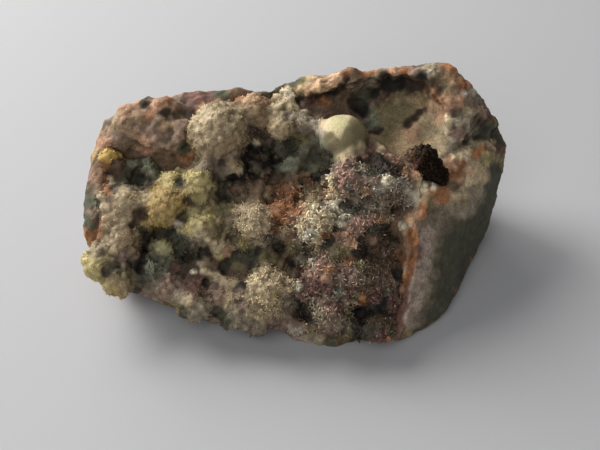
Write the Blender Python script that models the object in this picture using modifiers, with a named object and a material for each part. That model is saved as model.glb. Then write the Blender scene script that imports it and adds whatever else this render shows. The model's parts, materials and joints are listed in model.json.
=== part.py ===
"""An aragonite specimen: a loose iron-stained rock whose tilted face is a vug lined with a knobbly crust.

The vug faces forward and up. Places on it are given in the face frame, in millimetres: across is to
the right, up runs up the face, and out points straight away from it. FACE_TILT turns that frame into
the world, where the rock rests on z = 0.
"""

import math

import bmesh
import bpy
from mathutils import Euler, Matrix, Vector, noise

MM = 0.001

# Driving dimensions, in millimetres
FACE_TILT = math.radians(45)  # the face looks this far above the horizontal
FACE_HEIGHT = 17.7  # the face frame's origin above the table
GAP = 0.35  # between touching pieces
LINING = 6.2  # how far the floor of the vug lies below the tops of the mounds
BED = 2.6  # the least thickness of the crust between its mounds
RIM_SLOPE = 1.9  # how steeply the rock rises round the crust
FLOOR_STEP = 2.3  # the grid that the vug's floor is drawn on
FLOOR_BLUR = 4.5  # over what distance the floor follows the mounds
FLOOR_SMOOTHING = 2  # passes that round the foot of the rim
CLEARANCE = 0.8  # the crust stays this far above the table
ROCK_WAVES = [(13.0, 1.4), (5.0, 0.7)]  # the stone's unevenness: wavelength, height
CRUST_WAVES = [(2.6, 0.5)]  # the knobs on the mounds: wavelength, height
HOLLOW_WAVES = [(5.0, 0.9)]  # the unevenness of the hollow: wavelength, height
PIT_FLOOR = 0.9  # the crust left under a pit
BED_SPREAD = 1.25  # how much wider the bed under a mound is than the mound
RIM_START = 1.5  # how far inside the crust's outline the rock starts to rise
FLOOR_HALF_ACROSS = 54.0  # half the width of the drawn floor
FLOOR_HALF_UP = 40.0  # half its height
FLOOR_TOP = 40.0  # the highest that the floor rises outside the crust
FLOOR_REACH = 45.0  # how far the space on each side of the floor goes
TABLE_SIZE = 200.0  # the space below the table
TABLE_DEPTH = 60.0

# Fineness: voxels in millimetres, passes of smoothing, and triangles kept
HULL_VOXEL = 0.8
LUMP_VOXEL = 0.5
ROCK_VOXEL = 0.7
CRUST_VOXEL = 0.7
HOLLOW_VOXEL = 0.6
CRYSTAL_VOXEL = 0.25
SMOOTHING = 0.5
HULL_PASSES = 3
ROCK_PASSES = 2
HOLLOW_PASSES = 4
BALL_LEVEL = 3  # subdivisions of a ball
ROCK_TRIANGLES = 2500
CRUST_TRIANGLES = 3300
HOLLOW_TRIANGLES = 1200
CRYSTAL_TRIANGLES = 420
SHARP_ANGLE = math.radians(40)

# The rock's corners that the face doesn't show, in the world: x, y, z
BASE_CORNERS = [
    (37.5, 14, 0), (33, 25, 0), (14, 29, 0), (-14, 29, 0), (-34, 24, 0), (-41, 12, 0), (-38, 1, 0),
    (-27, -5, 0), (-12, -12, 0), (4, -16.4, 0),
]
BACK_CORNERS = [
    (31, 30, 17), (12, 32, 23), (-6, 32, 18), (-28, 30, 16), (-43, 21, 13), (42, 25, 13),
]

# The corners of its outline as the face is seen, and of its right flank: across, up, out
OUTLINE_CORNERS = [
    (-23.6, 26.4, -6), (-33, 26.0, -7), (-38.6, 24.6, -8), (-41.6, 22.0, -9), (-44.2, 15.2, -9),
    (-45.4, 3.1, -7), (-12.3, 26.4, -6), (-5.1, 28.4, -6), (6.7, 30.6, -5), (16.3, 31.4, -4),
    (26.4, 32.6, -3.5), (30.5, 33.8, -3.2), (37.0, 28.2, -8), (39.8, 24.6, -10), (42.8, 20, -13),
    (43.9, 13.8, -16), (42.6, 3.2, -18), (36.6, -10, -15), (28.8, -19, -6), (24.3, -22.5, -2.5),
    (19, -24.4, -0.6),
]
FLANK_CORNERS = [
    (28.5, 8.0, 0.0), (27.6, -3.0, 1.2), (26.0, -13.0, 1.4), (21.6, -21.6, 1.0), (42.0, 15.6, -9.0),
    (33.0, 26.0, -2.2), (21.0, 2.0, 2.4), (20.4, -14.0, 2.6),
]

# The belly under the crust's lower edge: across, up, out
BELLY_CORNERS = [
    (-43.0, -5.0, -0.5), (-41.6, -9.0, 0.0), (-37.6, -13.0, 0.4), (-24.0, -14.8, -0.4),
    (-10.0, -19.0, 0.0), (4.0, -21.2, 1.0),
]

# The crust's outline on the face: across, up
CRUST_OUTLINE = [
    (-41, 15.5), (-30, 14.5), (-22, 15), (-22, 24), (-13, 27), (-2, 29), (0, 24), (4, 23), (9, 24),
    (15, 19), (16, 15.5), (21, 14), (24, 8), (20.5, 2), (20.5, -13), (18, -27), (-30, -27),
    (-52, -18), (-52, -7), (-48, -4.5), (-43.5, -1.5), (-41.5, 3),
]

# The crust's mounds: across, up, out, radius
LEFT_MOUNDS = [
    (-40.0, -7.4, 3.0, 4.2), (-36.0, -11.2, 3.4, 4.0), (-39.2, 5.0, -1.0, 3.2),
    (-38.2, 0.2, 0.0, 3.0), (-34.6, 4.4, -1.0, 4.8), (-34.2, -2.2, 0.0, 4.8),
    (-36.0, -6.0, 1.0, 4.0), (-26.2, 3.6, 2.0, 5.2), (-26.0, 9.4, 0.0, 2.7),
    (-30.4, 11.4, -4.4, 3.2), (-38.8, 13.0, -3.4, 3.2), (-35.0, 10.4, -5.6, 3.2),
    (-20.2, 8.0, 1.0, 4.5), (-20.0, -1.0, 2.0, 5.0), (-27.2, -4.6, -2.5, 2.7),
    (-30.0, -9.0, 0.0, 3.6), (-26.6, -12.4, 1.5, 3.4), (-21.0, -10.4, -1.0, 4.0),
    (-20.8, -15.8, 2.4, 4.6), (-17.0, -8.6, 0.5, 2.6), (-15.4, -14.4, 2.0, 3.6),
    (-13.0, -18.4, 3.0, 3.4), (-24.0, -8.0, -2.0, 3.0), (-14.5, -4.8, 0.5, 2.6),
]
TOP_MOUNDS = [
    (-16.4, 18.8, -2.0, 7.0), (-10.0, 23.2, -4.0, 4.6), (-4.0, 19.4, -1.0, 3.3),
    (1.4, 19.8, -3.0, 3.6), (-3.0, 23.8, -4.0, 2.6), (-2.4, 26.4, -5.0, 2.2),
    (-2.0, 12.0, -4.0, 2.8), (1.0, 14.2, -4.0, 2.6), (4.2, 11.0, -4.0, 3.0),
    (-13.6, 11.2, -2.0, 3.1), (-18.0, 12.2, -1.5, 3.0), (-8.4, 7.4, -3.0, 3.2),
    (-2.0, 7.2, -3.0, 3.0), (-9.0, 14.6, -5.0, 3.2), (8.6, 17.0, -0.6, 5.4),
    (7.2, 12.0, -2.5, 2.4), (-7.0, 11.2, -5.0, 3.0),
]
MIDDLE_MOUNDS = [
    (-9.2, 0.8, 1.0, 4.8), (-3.0, 2.4, 2.0, 3.8), (-14.6, 2.6, 0.0, 3.2),
    (3.6, 0.2, 3.8, 5.2), (9.4, 8.6, 3.6, 5.0), (14.8, 8.2, 2.4, 6.4), (16.6, 11.6, 0.0, 4.4),
    (13.2, 0.8, 2.4, 5.4), (9.0, -3.8, 3.6, 4.4), (-7.0, -5.0, -2.0, 3.2),
    (-12.0, -7.4, -1.0, 3.0), (-2.6, -4.6, -1.0, 3.2), (19.4, 7.4, 1.0, 3.6),
    (22.0, 5.4, 1.0, 2.6), (17.4, -3.2, -1.4, 3.6), (21.9, 9.6, 1.0, 2.7), (20.6, 12.6, 0.6, 2.2),
]
LOWER_MOUNDS = [
    (6.0, -10.4, 3.8, 6.0), (11.2, -10.8, 3.8, 5.6), (16.4, -9.4, -0.2, 4.4),
    (16.2, -15.4, 0.6, 4.2), (6.0, -18.0, 4.6, 4.4), (14.6, -20.6, 3.8, 3.6),
    (10.6, -20.0, 3.4, 3.4), (17.4, -21.4, 3.0, 2.8), (-6.4, -13.4, 3.0, 6.0),
    (-1.0, -19.2, 3.6, 3.4), (-8.2, -19.8, 3.4, 3.2), (1.0, -14.0, 1.0, 3.6),
    (-12.0, -12.0, 0.0, 3.2),
]
MOUNDS = LEFT_MOUNDS + TOP_MOUNDS + MIDDLE_MOUNDS + LOWER_MOUNDS

# Lumps of the rock itself, and the ledge behind the hollow: across, up, out, radius
ROCK_LUMPS = [
    (-34.4, 20.4, -5.0, 4.4), (-27.6, 22.0, -3.8, 4.4), (-22.4, 18.6, -2.8, 4.0),
    (-29.4, 17.2, -3.8, 3.4), (-37.4, 16.4, -5.0, 3.2), (26.4, 30.6, -3.6, 2.2),
    (-20.0, 23.4, -4.2, 3.0), (-31.6, 22.6, -5.2, 3.0), (-25.4, 15.4, -3.2, 2.6),
    (0.8, 27.2, -4.2, 1.9), (4.0, 28.0, -3.6, 1.9), (7.4, 29.4, -3.2, 1.8), (10.6, 30.4, -3.2, 1.6),
]

# Knobs along the raised rim between the crust and the right flank: across, up, out, radius
RIM_KNOBS = [
    (25.6, 7.4, 0.6, 2.0), (23.8, 4.6, 1.8, 2.0), (22.6, 1.6, 2.4, 1.9), (21.8, -0.8, 2.8, 1.7),
    (22.4, -3.4, 2.6, 1.9), (22.2, -6.4, 2.8, 1.9), (21.6, -9.4, 2.8, 1.8), (21.2, -12.4, 2.8, 1.8),
    (21.4, -15.6, 2.4, 1.8), (20.6, -18.8, 2.0, 1.7), (19.2, -21.8, 1.4, 1.5),
]

# Pits in the crust, where its mounds leave a dark hole: across, up, radius, depth
PITS = [
    (-27.4, 13.2, 3.4, 5.0), (3.8, 8.8, 2.4, 3.6), (-9.8, 12.4, 2.6, 4.0), (-12.2, 9.0, 1.8, 3.0),
    (-30.2, -3.0, 2.8, 4.0), (-26.6, -2.2, 2.0, 3.4), (-23.4, -4.4, 2.6, 4.0), (-19.8, -5.0, 2.0, 3.6),
    (-4.0, -4.8, 2.0, 3.4), (0.6, -17.2, 1.8, 3.2), (11.0, -17.6, 2.0, 3.2), (11.4, -23.0, 1.6, 2.6),
    (-32.0, 0.6, 1.6, 2.0), (17.6, -1.0, 3.0, 3.0), (18.8, -5.8, 2.2, 2.6), (-5.4, 9.4, 2.2, 3.0),
    (-17.4, -12.0, 1.8, 2.8), (5.2, 5.0, 1.8, 2.6), (-28.6, -7.0, 1.8, 2.6), (-12.6, -2.8, 1.8, 2.6),
    (7.6, -6.8, 1.8, 2.6), (-33.0, 10.0, 2.6, 2.6), (-6.0, -9.0, 1.8, 2.0), (2.4, -5.0, 1.8, 2.6),
]

# The open hollow at the upper right, its dark back and the notch beside it: across, up, out, radius
HOLLOW = [
    (14.8, 22.4, -3.0, 5.8), (18.8, 22.2, -2.6, 6.4), (23.2, 20.8, -0.8, 6.2), (26.4, 17.6, 1.4, 5.4),
    (28.0, 14.4, 2.2, 4.4), (22.0, 17.2, 0.2, 5.2), (13.0, 25.0, -5.4, 3.8), (17.5, 25.4, -5.8, 4.0),
    (22.0, 25.2, -4.8, 3.8), (9.0, 24.8, -4.4, 3.4), (5.2, 24.4, -4.4, 2.8), (1.8, 23.6, -4.6, 2.2),
    (25.6, 23.0, -1.6, 3.8), (30.2, 15.0, 1.6, 3.4), (33.0, 16.0, -0.2, 3.2), (35.8, 17.0, -2.6, 3.0),
    (38.6, 17.8, -5.4, 2.8), (41.4, 18.4, -8.6, 2.6), (44.0, 18.8, -11.6, 2.4),
    (13.4, 27.2, -5.0, 2.8), (17.2, 27.8, -4.8, 3.0), (20.8, 27.8, -4.4, 2.8), (24.0, 26.8, -3.4, 2.6),
    (9.6, 27.2, -4.6, 2.0), (6.6, 25.8, -4.4, 1.8), (3.0, 24.6, -4.4, 1.6),
]

# The dark crystals: across, up, out, size, then three turns in degrees
DARK_CRYSTALS = [
    (22.6, 13.8, 1.6, 2.0, 20, 35, 10), (24.2, 13.8, 1.4, 2.5, 50, 15, 40),
    (25.5, 12.9, 1.2, 2.7, 10, 55, 25), (24.4, 12.3, 1.8, 2.3, 35, 25, 60),
    (26.3, 11.5, 0.9, 2.6, 65, 40, 15), (27.3, 10.5, 0.6, 2.4, 25, 10, 50),
    (26.2, 10.2, 1.2, 2.1, 40, 60, 30), (25.2, 11.2, 1.6, 2.2, 15, 45, 70),
    (28.4, 9.4, -0.1, 2.0, 55, 20, 35), (25.4, 14.6, 1.2, 1.8, 30, 50, 5),
]


def face_matrix():
    """From the face frame, in millimetres, to the world, in metres."""
    s, c = math.sin(FACE_TILT), math.cos(FACE_TILT)
    turn = Matrix(((1, 0, 0), (0, s, -c), (0, c, s))).to_4x4()
    return Matrix.Translation((0, 0, FACE_HEIGHT * MM)) @ turn @ Matrix.Scale(MM, 4)


def clear_scene():
    for ob in list(bpy.data.objects):
        bpy.data.objects.remove(ob, do_unlink=True)


def collection(name):
    made = bpy.data.collections.new(name)
    bpy.context.scene.collection.children.link(made)
    return made


def material(name, colour, roughness, metallic=0.0):
    mat = bpy.data.materials.new(name)
    mat.use_nodes = True
    shader = mat.node_tree.nodes["Principled BSDF"]
    shader.inputs["Base Color"].default_value = (*colour, 1)
    shader.inputs["Roughness"].default_value = roughness
    shader.inputs["Metallic"].default_value = metallic
    mat.diffuse_color = (*colour, 1)
    return mat


def add_object(name, bm, where, matrix=None):
    """Turns a bmesh into an object of the collection, its mesh carried into the world by matrix."""
    if matrix is not None:
        bm.transform(matrix)
    mesh = bpy.data.meshes.new(name)
    bm.to_mesh(mesh)
    bm.free()
    ob = bpy.data.objects.new(name, mesh)
    where.objects.link(ob)
    return ob


def as_cutter(ob):
    ob.hide_render = True
    ob.display_type = "WIRE"
    return ob


def apply_modifiers(ob):
    bpy.context.view_layer.update()
    depsgraph = bpy.context.evaluated_depsgraph_get()
    mesh = bpy.data.meshes.new_from_object(ob.evaluated_get(depsgraph))
    ob.modifiers.clear()
    ob.data = mesh


def remesh(ob, voxel):
    mod = ob.modifiers.new("Remesh", "REMESH")
    mod.mode = "VOXEL"
    mod.voxel_size = voxel * MM
    apply_modifiers(ob)


def smooth(ob, passes):
    mod = ob.modifiers.new("Smooth", "SMOOTH")
    mod.factor = SMOOTHING
    mod.iterations = passes
    apply_modifiers(ob)


def decimate(ob, triangles):
    ob.data.calc_loop_triangles()
    mod = ob.modifiers.new("Decimate", "DECIMATE")
    mod.ratio = min(1.0, triangles / len(ob.data.loop_triangles))
    mod.use_collapse_triangulate = True
    apply_modifiers(ob)


def boolean(ob, other, operation):
    mod = ob.modifiers.new("Boolean", "BOOLEAN")
    mod.operation = operation
    mod.solver = "MANIFOLD"
    mod.object = other
    apply_modifiers(ob)


def keep_largest(ob):
    """Deletes every loose body but the largest, and faces with no area."""
    bm = bmesh.new()
    bm.from_mesh(ob.data)
    bmesh.ops.remove_doubles(bm, verts=bm.verts[:], dist=0.01 * MM)
    bmesh.ops.triangulate(bm, faces=bm.faces[:])
    left = set(bm.verts)
    bodies = []
    while left:
        body = {left.pop()}
        front = list(body)
        while front:
            vert = front.pop()
            for edge in vert.link_edges:
                other = edge.other_vert(vert)
                if other in left:
                    left.remove(other)
                    body.add(other)
                    front.append(other)
        bodies.append(body)
    bodies.sort(key=len)
    for body in bodies[:-1]:
        bmesh.ops.delete(bm, geom=list(body), context="VERTS")
    bm.to_mesh(ob.data)
    bm.free()


def distance_outside(point, outline):
    """How far a point on the face lies outside an outline, or less than 0 inside it."""
    inside = False
    nearest = 1e9
    for a, b in zip(outline, outline[1:] + outline[:1], strict=True):
        start, end = Vector(a), Vector(b)
        along = (end - start).normalized()
        reach = max(0.0, min((point - start).dot(along), (end - start).length))
        nearest = min(nearest, (point - start - along * reach).length)
        if (start.y > point.y) != (end.y > point.y):
            crossing = start.x + (point.y - start.y) / (end.y - start.y) * (end.x - start.x)
            inside = inside != (point.x < crossing)
    return -nearest if inside else nearest


def floor_level(across, up):
    """The vug's floor: it follows the mounds from below, and rises to the rim outside the crust."""
    total, level = 0.0, 0.0
    for x, y, out, radius in MOUNDS:
        near = math.exp(-((across - x) ** 2 + (up - y) ** 2) / (2 * FLOOR_BLUR**2)) + 1e-9
        total += near
        level += near * (out + 0.6 * radius - LINING)
    outside = distance_outside(Vector((across, up)), CRUST_OUTLINE)
    return level / total + RIM_SLOPE * max(0.0, outside + RIM_START)


def floor_cutter(name, where, offset, side):
    """The space on one side of the vug's floor: side 1 is out of the rock and side -1 is into it."""
    columns = round(2 * FLOOR_HALF_ACROSS / FLOOR_STEP)
    rows = round(2 * FLOOR_HALF_UP / FLOOR_STEP)
    bm = bmesh.new()
    bmesh.ops.create_grid(bm, x_segments=columns, y_segments=rows, size=1)
    for vert in bm.verts:
        x = vert.co.x * FLOOR_HALF_ACROSS
        y = vert.co.y * FLOOR_HALF_UP
        vert.co = (x, y, min(floor_level(x, y), FLOOR_TOP))
    for _ in range(FLOOR_SMOOTHING):
        bmesh.ops.smooth_vert(bm, verts=bm.verts[:], factor=0.5, use_axis_z=True)
    bm.normal_update()
    moves = [vert.normal * offset for vert in bm.verts]
    for vert, move in zip(bm.verts, moves, strict=True):
        vert.co += move
    grown = bmesh.ops.extrude_face_region(bm, geom=bm.faces[:])
    for item in grown["geom"]:
        if isinstance(item, bmesh.types.BMVert):
            item.co.z = side * FLOOR_REACH
    bmesh.ops.recalc_face_normals(bm, faces=bm.faces[:])
    return as_cutter(add_object(name, bm, where, face_matrix()))


def roughen(ob, waves):
    """Moves each vertex along its normal by noise; waves are pairs of a wavelength and a height."""
    places = [vert.co.copy() for vert in ob.data.vertices]
    normals = [vert.normal.copy() for vert in ob.data.vertices]
    for vert, place, normal in zip(ob.data.vertices, places, normals, strict=True):
        height = sum(
            high * noise.noise(place / (long * MM) + Vector((long, 1.7 * long, 0.6 * long)))
            for long, high in waves
        )
        vert.co = place + normal * height * MM


def sphere(bm, centre, radius):
    made = bmesh.ops.create_icosphere(bm, subdivisions=BALL_LEVEL, radius=radius)
    bmesh.ops.translate(bm, verts=made["verts"], vec=centre)


def rock_body(where):
    """The whole stone before the vug is cut: a hull of its corners, roughened, with its lumps."""
    bm = bmesh.new()
    for corner in BASE_CORNERS + BACK_CORNERS:
        bm.verts.new(Vector(corner) * MM)
    for corner in OUTLINE_CORNERS + FLANK_CORNERS + BELLY_CORNERS:
        bm.verts.new(face_matrix() @ Vector(corner))
    hull = bmesh.ops.convex_hull(bm, input=bm.verts[:])
    bmesh.ops.delete(bm, geom=hull["geom_interior"], context="VERTS")
    bmesh.ops.recalc_face_normals(bm, faces=bm.faces[:])
    ob = add_object("matrix", bm, where)
    lumps = bmesh.new()
    for across, up, out, radius in ROCK_LUMPS + RIM_KNOBS:
        sphere(lumps, (across, up, out), radius)
    extra = as_cutter(add_object("rock_lumps", lumps, bpy.data.collections["cutters"], face_matrix()))
    remesh(ob, HULL_VOXEL)
    smooth(ob, HULL_PASSES)
    remesh(extra, LUMP_VOXEL)
    boolean(ob, extra, "UNION")
    remesh(ob, ROCK_VOXEL)
    smooth(ob, ROCK_PASSES)
    roughen(ob, ROCK_WAVES)
    return ob


def table_cutter(name, where, top):
    bm = bmesh.new()
    bmesh.ops.create_cube(bm, size=1)
    bmesh.ops.scale(bm, verts=bm.verts[:], vec=Vector((TABLE_SIZE, TABLE_SIZE, TABLE_DEPTH)) * MM)
    bmesh.ops.translate(bm, verts=bm.verts[:], vec=(0, 0, (top - TABLE_DEPTH / 2) * MM))
    return as_cutter(add_object(name, bm, where))


def hollow_cutter(where):
    """The hollow's balls run together into one rough cutter."""
    bm = bmesh.new()
    for across, up, out, radius in HOLLOW:
        sphere(bm, (across, up, out), radius)
    ob = add_object("hollow", bm, where, face_matrix())
    remesh(ob, HOLLOW_VOXEL)
    smooth(ob, HOLLOW_PASSES)
    roughen(ob, HOLLOW_WAVES)
    decimate(ob, HOLLOW_TRIANGLES)
    return as_cutter(ob)


def sink_pits(ob):
    """Presses the pits into the crust, no deeper than a thin layer over the vug's floor."""
    to_world = face_matrix()
    to_face = to_world.inverted()
    for vert in ob.data.vertices:
        place = to_face @ vert.co
        sink = 0.0
        for across, up, radius, depth in PITS:
            away = math.hypot(place.x - across, place.y - up) / radius
            if away < 1:
                sink = max(sink, depth * (1 - away**2) ** 1.5)
        if sink:
            least = min(place.z, floor_level(place.x, place.y) + PIT_FLOOR)
            place.z = max(place.z - sink, least)
            vert.co = to_world @ place


def crystals(name, where, grow):
    """The dark crystals as one closed body, each grown on every side by grow."""
    bm = bmesh.new()
    for across, up, out, size, *turns in DARK_CRYSTALS:
        turn = Euler([math.radians(t) for t in turns]).to_matrix().to_4x4()
        place = Matrix.Translation((across, up, out)) @ turn
        bmesh.ops.create_cube(bm, size=size + 2 * grow, matrix=place)
    ob = add_object(name, bm, where, face_matrix())
    remesh(ob, CRYSTAL_VOXEL)
    decimate(ob, CRYSTAL_TRIANGLES)
    keep_largest(ob)
    return ob


def crust_body(where):
    """The mounds and the bed that joins them."""
    bm = bmesh.new()
    for across, up, out, radius in MOUNDS:
        sphere(bm, (across, up, out), radius)
    for across, up, out, radius in MOUNDS:
        level = floor_level(across, up) + BED - radius
        sphere(bm, (across, up, min(level, out)), radius * BED_SPREAD)
    ob = add_object("aragonite_crust", bm, where, face_matrix())
    remesh(ob, CRUST_VOXEL)
    sink_pits(ob)
    roughen(ob, CRUST_WAVES)
    return ob


def stand_on_origin(parts):
    """Moves the parts together so that the middle of their box's underside is at the origin."""
    places = [vert.co for ob in parts for vert in ob.data.vertices]
    middle = Vector(
        (min(place[i] for place in places) + max(place[i] for place in places)) / 2 for i in range(2)
    )
    for ob in parts:
        ob.data.transform(Matrix.Translation((-middle.x, -middle.y, 0)))


def build():
    clear_scene()
    parts = collection("aragonite_specimen")
    cutters = collection("cutters")

    pocket = floor_cutter("vug_space", cutters, 0.0, 1)
    under = floor_cutter("vug_floor", cutters, GAP, -1)
    table = table_cutter("below_table", cutters, 0.0)
    low = table_cutter("below_crust", cutters, CLEARANCE)
    dark_space = as_cutter(crystals("dark_crystal_space", cutters, GAP))

    cluster = crystals("iron_oxide_cluster", parts, 0.0)

    crust = crust_body(parts)
    decimate(crust, CRUST_TRIANGLES)
    boolean(crust, under, "DIFFERENCE")
    boolean(crust, low, "DIFFERENCE")
    boolean(crust, dark_space, "DIFFERENCE")
    keep_largest(crust)

    rock = rock_body(parts)
    decimate(rock, ROCK_TRIANGLES)
    boolean(rock, pocket, "DIFFERENCE")
    boolean(rock, hollow_cutter(cutters), "DIFFERENCE")
    boolean(rock, table, "DIFFERENCE")
    boolean(rock, dark_space, "DIFFERENCE")
    keep_largest(rock)

    finish = {
        rock: material("host_rock", (0.17, 0.12, 0.09), 0.85),
        crust: material("aragonite", (0.42, 0.36, 0.26), 0.8),
        cluster: material("iron_oxide", (0.03, 0.018, 0.012), 0.5),
    }
    stand_on_origin(list(finish))
    for ob, surface in finish.items():
        ob.data.materials.clear()
        ob.data.materials.append(surface)
        ob.data.shade_smooth()
        ob.data.set_sharp_from_angle(angle=SHARP_ANGLE)


build()
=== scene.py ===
"""An aragonite specimen's looks: a rough stone whose tilted face is a vug full of knobbly, needled crust.

Shapes are worked on in the face frame, in millimetres: across is to the right, up runs up the vug's
tilted face, and out points straight away from it. The finished meshes are turned into the world.
"""

import itertools
import json
import math

import bmesh
import bpy
import numpy as np
from mathutils import Euler, Matrix, Vector, kdtree
from mathutils.bvhtree import BVHTree

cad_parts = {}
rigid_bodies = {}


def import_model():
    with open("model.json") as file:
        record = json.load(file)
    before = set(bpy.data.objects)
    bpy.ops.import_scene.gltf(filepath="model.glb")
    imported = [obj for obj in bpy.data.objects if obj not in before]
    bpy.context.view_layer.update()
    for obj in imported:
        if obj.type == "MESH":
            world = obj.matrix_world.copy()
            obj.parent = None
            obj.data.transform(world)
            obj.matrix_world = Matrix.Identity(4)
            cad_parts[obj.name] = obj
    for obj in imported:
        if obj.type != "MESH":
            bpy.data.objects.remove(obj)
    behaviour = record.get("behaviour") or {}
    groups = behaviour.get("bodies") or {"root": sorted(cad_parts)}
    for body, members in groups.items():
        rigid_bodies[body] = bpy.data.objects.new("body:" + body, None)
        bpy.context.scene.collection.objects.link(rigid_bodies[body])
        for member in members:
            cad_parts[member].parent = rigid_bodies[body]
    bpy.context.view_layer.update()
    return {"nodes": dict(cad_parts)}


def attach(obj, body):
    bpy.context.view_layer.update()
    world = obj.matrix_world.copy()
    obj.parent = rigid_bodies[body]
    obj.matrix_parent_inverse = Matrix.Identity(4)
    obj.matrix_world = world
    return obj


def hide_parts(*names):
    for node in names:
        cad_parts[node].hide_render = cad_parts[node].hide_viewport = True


for leftover in list(bpy.data.objects):
    bpy.data.objects.remove(leftover, do_unlink=True)
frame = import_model()

MM = 0.001

# The face frame: where its origin lies in the part's frame, and how far the face looks above the horizontal
FACE_ORIGIN = (0.88, -5.80, 17.7)
FACE_TILT = math.radians(45)

# The camera looks straight at the face
CAMERA_DISTANCE = 233.3
CAMERA_LENS = 70

# Fineness of the surfaces, in millimetres
BODY_VOXEL = 0.5
CRUST_VOXEL = 0.34
ROCK_VOXEL = 0.46
CLUSTER_VOXEL = 0.35

TRIES_PER_PLACE = 3.2  # random places tried on each square that is as wide as the spacing
PIT_DEPTH = 1.6  # how deep a mark sinks in, as a multiple of its own number
PIT_STEEPNESS = 1.5
HIDDEN_WITHIN = 1.6  # a surface nearer than this to the piece that covers it isn't seen, in millimetres

# The crust, in millimetres: drawn in from the CAD solid, which lumps, beads and needles then fill again
CRUST_DRAWN_IN = 1.1
LUMP_SPACING = 1.7
LUMP_RADIUS = (0.6, 1.2)
LUMP_SUNK = 0.35  # share of a lump's radius that lies below the body
BEAD_SPACING = 1.1
BEAD_REACH = 0.75  # a bead's radius as a share of the spacing
BEAD_HEIGHT = 0.3
CRUST_GRAIN = (0.9, 0.08)  # wavelength and height

# Its needles, first on the velvety stretches and then on the needled ones
NEEDLES_ON_A_BEAD = ((10, 14), (7, 10))
NEEDLE_LENGTH = ((0.35, 0.75), (0.7, 1.2))
NEEDLE_WIDTH = ((0.2, 0.3), (0.32, 0.48))
NEEDLE_LEAN = ((0.0, 0.9), (-0.1, 0.6))  # how far along the crust's normal, from lying flat to upright
NEEDLE_BEND = (0.3, 1.0)  # how far the outer half of a needle turns aside
NEEDLE_RINGS = (0.9, 1.0, 0.75)  # width at the root, the bend and the tip
NEEDLE_SUNK = 0.12
NEEDLE_ASIDE = 0.35  # how far its root stands from the bead's middle
LENGTH_VARIATION = 0.12  # from bead to bead
NEEDLE_FACES = 14  # triangles of one needle
FACES_A_PIECE = 190000

# Painted shade at the roots and painted light at the tips: brightness at the root, bend and tip on velvet,
# and what long needles add
NEEDLE_PAINTED_SHADE = ((0.8, -0.35), (1.0, 0.12), (1.15, 0.3))
WHITE_NEEDLES = 0.06  # share of the long needles that are whitened
WHITE_SHARE = 0.4
WHITE_FROM = 0.15  # darker ones than this are whitened less often
BEAD_VARIATION = 0.15
NEEDLE_VARIATION = (0.12, 0.1)  # on velvet, and what is added where they are long
COLOUR_PLACE = 0.4  # how far along its way a needle's colour is looked up

# The rock, in millimetres: lumps on its grainy stretches, and waves (wavelength, height) elsewhere
GRAIN_SPACING = 2.2
GRAIN_RADIUS = (0.7, 1.5)
GRAIN_SUNK = 0.5
GRAIN_REACH = 0.85
SWELLS = (5.0, 0.4)
CREASES = (2.2, 0.6)
MOTTLE = (1.1, 0.3)  # of brightness
LEVEL = 0.2  # lifts swells and creases together
GRAINY_SHARE = 0.6  # how far grains take the place of the waves
FIBRE_LENGTH = 5.0  # as a multiple of their width
FIBRE_WIDTH = 0.9
FIBRE_HEIGHT = 0.4
ROCK_DRAWN_IN = 0.15
UNDERSIDE = 0.6  # what is nearer than this to the flat underside stays smooth

# Painted light and shade from relief: how a point's height over its surroundings brightens it, with the
# darkest and lightest factor
CRUST_RELIEF_SHADE = (1.3, 0.15, 1.1)
ROCK_RELIEF_SHADE = (1.8, 0.25, 1.5)
# Painted shade on the crust under the needles, everywhere and more where they are long
SHADE_UNDER_NEEDLES = (0.25, 0.3)  # what needles take from it: everywhere, and what is added where they are long
FIBRE_SHADE = 0.35
FRONT_FADE = 0.25  # a side that looks this far forwards shows the front's colours in full

# The dark blocks, in millimetres: length, then width and thickness as shares of it
BLOCK_SPACING = 0.5
BLOCK_LENGTH = (0.5, 1.25)
BLOCK_WIDTH = (0.5, 1.0)
BLOCK_THICKNESS = (0.25, 0.7)
BLOCK_LIFT = (-0.15, 0.3)
BLOCK_VARIATION = 0.3

# How far light gets into crevices, painted into the colours as shade: the rays each point sends out, and the
# light left where none gets away
RAYS = 12
RAY_LENGTH = 5.0
RAY_START = 0.15
RAY_SPREAD = 0.97
GOLDEN_ANGLE = 2.39996
CRUST_DARKEST = 0.45
ROCK_DARKEST = 0.4

# How marks blend: their edges are stirred (wavelength, reach), and they fade with distance
COARSE_STIR = (2.0, 0.5)
FINE_STIR = (0.8, 0.3)
MARK_FADE = (1.1, 2.2)  # strength and power
FAR_WEIGHT = 1e-5  # what a mark still weighs far away, so that every point has a colour
FULL_WEIGHT = 0.05  # marks that weigh this much hide the ground

# A patch's edge: where it ends and how wide it fades, as shares of its radius
PATCH_END = 1.15
PATCH_FADE = 0.3

SEED = 11

# The hash behind the noise
SEED_SHIFT = 31.7
CELL_PRIMES = (73856093, 19349663, 83492791)
SEED_PRIME = 2654435761
MIX_PRIMES = (2246822519, 3266489917)
ALL_BITS = 0xFFFFFFFF

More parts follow.
